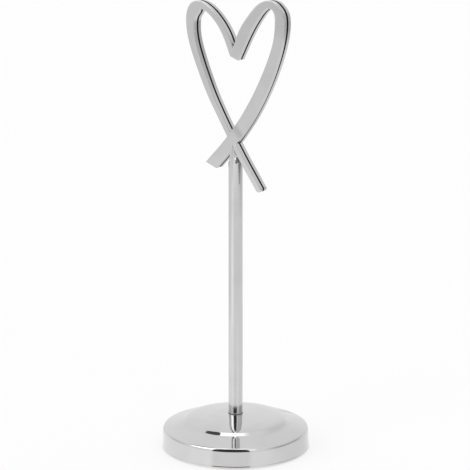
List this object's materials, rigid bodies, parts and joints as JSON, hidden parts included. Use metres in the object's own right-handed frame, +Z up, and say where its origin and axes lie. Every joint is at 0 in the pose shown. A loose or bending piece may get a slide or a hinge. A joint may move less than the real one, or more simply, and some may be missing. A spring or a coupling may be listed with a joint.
{
  "type": "heart place card holder",
  "caption": "Polished metal place card stand: paired heart plates that hold a card between them, on a slim slotted tube over a weighted, stepped round base.",
  "frame": {"origin": "middle of the underside of the base pad, on the surface that the holder stands on", "axes": "+Z up along the tube; the heart plates stand in the XZ plane and the front plate faces -Y, with the broad stroke's lobe on +X"},
  "size_m": [0.0666, 0.0666, 0.2021],
  "materials": {
    "polished_chrome": "polished",
    "zinc_steel": "satin zinc plate",
    "turned_brass": "turned",
    "cast_weight": "as cast",
    "pad_felt": "felt"
  },
  "bodies": {
    "root": {"base_shell": "polished_chrome", "stem_tube": "polished_chrome", "stem_collar": "polished_chrome", "heart_front_plate": "polished_chrome", "heart_rear_plate": "polished_chrome", "plate_spacer": "zinc_steel", "base_screw": "zinc_steel", "flat_washer": "zinc_steel", "spring_washer": "zinc_steel", "stem_plug": "turned_brass", "ballast_disc": "cast_weight", "base_pad": "pad_felt"}
  },
  "joints": []
}
